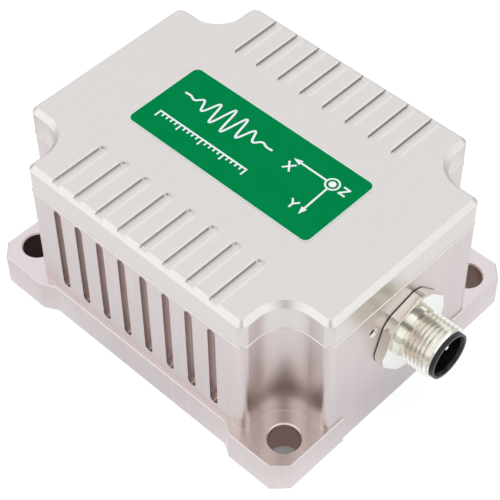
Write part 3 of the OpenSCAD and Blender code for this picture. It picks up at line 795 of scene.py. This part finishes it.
pins = bmesh.new()
for k, tip in enumerate((SHORT_TIP, LONG_TIP, SHORT_TIP, SHORT_TIP)):
    _, pin_y, pin_z = on_axis(tip, PIN_CIRCLE_R, math.radians(PIN_TURN + 90 * k))
    profile = (
        (TAIL - CUP_L, CUP_R), (TAIL, CUP_R), (TAIL, PIN_R),
        (tip - TIP_BEVEL_L, PIN_R), (tip, PIN_R - TIP_BEVEL_R),
    )
    add_loft(pins, [round_loop(s, pin_y, pin_z, radius, PIN_STEPS) for s, radius in profile], capped=True)
stepped_pins = make_piece("stepped_pins", pins, CONTACT)
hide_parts("contact_pins")


# Cone at the mouth of the earth screw's hole

EARTH_Y = -10.3
EARTH_Z = 7.1
MOUTH_R = 1.24
NECK_R = 0.8
# How far behind the wall's face the cone begins and ends, and its ring ends
CONE_START = 0.01
CONE_END = 0.45
CONE_BACK = 0.55
lead_in = bmesh.new()
lead_in_section = (
    (-CONE_START, MOUTH_R), (-CONE_END, NECK_R), (-CONE_BACK, NECK_R), (-CONE_BACK, MOUTH_R),
)
earth_y = axis_y + EARTH_Y * MM
earth_z = axis_z + EARTH_Z * MM
add_loft(lead_in, [round_loop(s, earth_y, earth_z, radius) for s, radius in lead_in_section])
make_piece("hole_lead_in", lead_in, COVER_METAL)


# Floor of pale paper, which mirror faces see as a painted glow with painted shadows

FLOOR_HALF = 3000.0
FLOOR_DROP = 0.05
FOOT_X = 41.5
FOOT_Y = 34.5
PAPER = (0.85, 0.85, 0.85)
EYE_GLOW = (0.98, 1.0, 1.0)
EYE_STRENGTH = 1.25
EYE_SHARE = 0.65
# What mirror faces see is a painted glow: its colour by and away from the object, and a painted shade under
# its near and far end
BY_OBJECT = (0.93, 0.97, 1.03)
AWAY = (0.55, 0.56, 0.55)
AWAY_SPAN = (28.0, 42.0)
UNDER_NEAR = (0.175, 0.135, 0.128)
UNDER_FAR = (0.02, 0.018, 0.017)
UNDER_SPAN = (-30.0, 30.0)
# Its strength: a painted shadow close to the object that fades away from it, a painted shade along the end
# walls and a painted glow at the corners
NEAR_GLOW = 0.93
FAR_GLOW = 1.22
GLOW_SPAN = (5.0, 28.0)
CLOSE_SPAN = (0.0, 12.0)
END_SHADE = 0.17
END_SPAN = (15.0, 30.0)
CORNER_GLOW = 0.3
CORNER_SPAN = (0.0, 35.0)


def floor_paper():
    """Paper that is white to the eye. Mirror faces see a painted glow instead, with a painted shadow close to
    the object and a painted shade under it.
    """
    material = bpy.data.materials.new("floor_paper")
    tree, output = emptied(material, "ShaderNodeOutputMaterial")
    at = split(tree, add_node(tree, "ShaderNodeTexCoord").outputs["Object"])
    past_x = calculated(tree, "SUBTRACT", absolute(tree, at["X"]), FOOT_X * MM)
    past_y = calculated(tree, "SUBTRACT", absolute(tree, at["Y"]), FOOT_Y * MM)
    clear = calculated(tree, "GREATER_THAN", calculated(tree, "MAXIMUM", past_x, past_y), 0.0)
    distance = hypotenuse(tree, *[calculated(tree, "MAXIMUM", past, 0.0) for past in (past_x, past_y)])

    # Painted shadow close to the object, painted shade along the +X end and painted glow at the corners
    close = mapped_mm(tree, distance, *CLOSE_SPAN, 1.0, 0.0)
    lead = calculated(tree, "SUBTRACT", past_x, past_y)
    end_shade = product(tree, close, mapped_mm(tree, lead, *END_SPAN, 0.0, END_SHADE))
    corner_glow = product(tree, close, mapped_mm(tree, absolute(tree, lead), *CORNER_SPAN, CORNER_GLOW, 0.0))
    share = calculated(tree, "ADD", calculated(tree, "SUBTRACT", 1.0, end_shade), corner_glow)
    strength = product(tree, mapped_mm(tree, distance, *GLOW_SPAN, NEAR_GLOW, FAR_GLOW), share)
    # Painted glow, darker away from the object, and painted shade under the object, darkest under its -X end
    open_floor = mixed(tree, mapped_mm(tree, distance, *AWAY_SPAN, 0.0, 1.0), BY_OBJECT, AWAY)
    under = mixed(tree, mapped_mm(tree, at["X"], *UNDER_SPAN, 1.0, 0.0), UNDER_NEAR, UNDER_FAR)
    mirrored = add_node(tree, "ShaderNodeEmission")
    tree.links.new(mixed(tree, clear, under, open_floor), mirrored.inputs["Color"])
    tree.links.new(strength, mirrored.inputs["Strength"])

    path = add_node(tree, "ShaderNodeLightPath").outputs
    diffuse = add_node(tree, "ShaderNodeBsdfDiffuse", {"Color": colour(PAPER)})
    glow = add_node(tree, "ShaderNodeEmission", {"Color": colour(EYE_GLOW), "Strength": EYE_STRENGTH})
    eye_share = product(tree, path["Is Camera Ray"], clear, EYE_SHARE)
    plain = mixed_shader(tree, eye_share, diffuse.outputs[0], glow.outputs[0])
    glossy = calculated(tree, "MAXIMUM", path["Is Glossy Ray"], path["Is Transmission Ray"])
    tree.links.new(mixed_shader(tree, glossy, plain, mirrored.outputs[0]), output.inputs["Surface"])
    return material


floor_mesh = bpy.data.meshes.new("floor")
floor_corners = [(sx * FLOOR_HALF, sy * FLOOR_HALF) for sx, sy in ((-1, -1), (1, -1), (1, 1), (-1, 1))]
floor_mesh.from_pydata(at_height(floor_corners, 0.0), [], [(0, 1, 2, 3)])
floor_mesh.materials.append(floor_paper())
floor = bpy.data.objects.new("floor", floor_mesh)
floor.location.z = -FLOOR_DROP * MM
scene.collection.objects.link(floor)


# Light: a pale tent with a few darker parts

CAMERA_FORWARD = Vector((-0.45378, 0.46517, -0.76007)).normalized()
BEHIND = Vector((-0.548, 0.532, 0.651)).normalized()
BESIDE = Vector((0.3, 0.68, 0.67)).normalized()
TENT = (1.2, 1.28, 1.36)
# Each part's direction, the cosines from it at which the part starts and is full, and its colour. The last is
# the dark gap of the lens
TENT_PARTS = (
    (BEHIND, 0.7, 0.99, (0.95, 0.99, 1.055)),
    (BESIDE, 0.9, 0.955, (0.28, 0.27, 0.28)),
    (-CAMERA_FORWARD, 0.77, 0.9, (1.06, 1.1, 1.13)),
    (-CAMERA_FORWARD, math.cos(math.radians(16)), math.cos(math.radians(9)), (0.17, 0.16, 0.16)),
)
# The thin dark gap where the tent meets the floor: the Z at which it starts, is full, begins to end and ends
GAP_START = (0.015, 0.03)
GAP_END = (0.075, 0.095)
GAP = (0.3, 0.28, 0.26)


def tent_world():
    """The tent, which the eye sees as white."""
    world = bpy.data.worlds.new("tent")
    tree, output = emptied(world, "ShaderNodeOutputWorld")
    direction = add_node(tree, "ShaderNodeTexCoord").outputs["Generated"]
    tent = TENT
    for towards, start, full, part_colour in TENT_PARTS:
        part = mapped(tree, facing(tree, direction, towards), start, full, 0.0, 1.0)
        tent = mixed(tree, part, tent, part_colour)
    rise = split(tree, direction)["Z"]
    above = mapped(tree, rise, *GAP_START, 0.0, 1.0)
    below = mapped(tree, rise, *GAP_END, 1.0, 0.0)
    tent = mixed(tree, product(tree, above, below), tent, GAP)
    path = add_node(tree, "ShaderNodeLightPath")
    background = add_node(tree, "ShaderNodeBackground")
    seen = mixed(tree, path.outputs["Is Camera Ray"], tent, (1.0, 1.0, 1.0))
    tree.links.new(seen, background.inputs["Color"])
    tree.links.new(background.outputs[0], output.inputs["Surface"])
    return world


scene.world = tent_world()
scene.view_settings.view_transform = "Standard"


# Camera at the photograph's viewing angle

CAMERA_AT = (158.295, -162.346, 276.610)
CAMERA_ROLL = math.radians(-0.75)
LENS = 115.28
SENSOR = 36.0

camera_data = bpy.data.cameras.new("camera")
camera_data.sensor_width = SENSOR
camera_data.lens = LENS
camera_data.clip_start = 0.01
camera_data.clip_end = 20.0
camera = bpy.data.objects.new("camera", camera_data)
level_right = CAMERA_FORWARD.cross(Vector((0, 0, 1))).normalized()
level_up = level_right.cross(CAMERA_FORWARD)
right = level_right * math.cos(CAMERA_ROLL) + level_up * math.sin(CAMERA_ROLL)
up = level_up * math.cos(CAMERA_ROLL) - level_right * math.sin(CAMERA_ROLL)
pose = Matrix((right, up, -CAMERA_FORWARD)).transposed().to_4x4()
pose.translation = Vector(CAMERA_AT) * MM
camera.matrix_world = pose
scene.collection.objects.link(camera)
scene.camera = camera
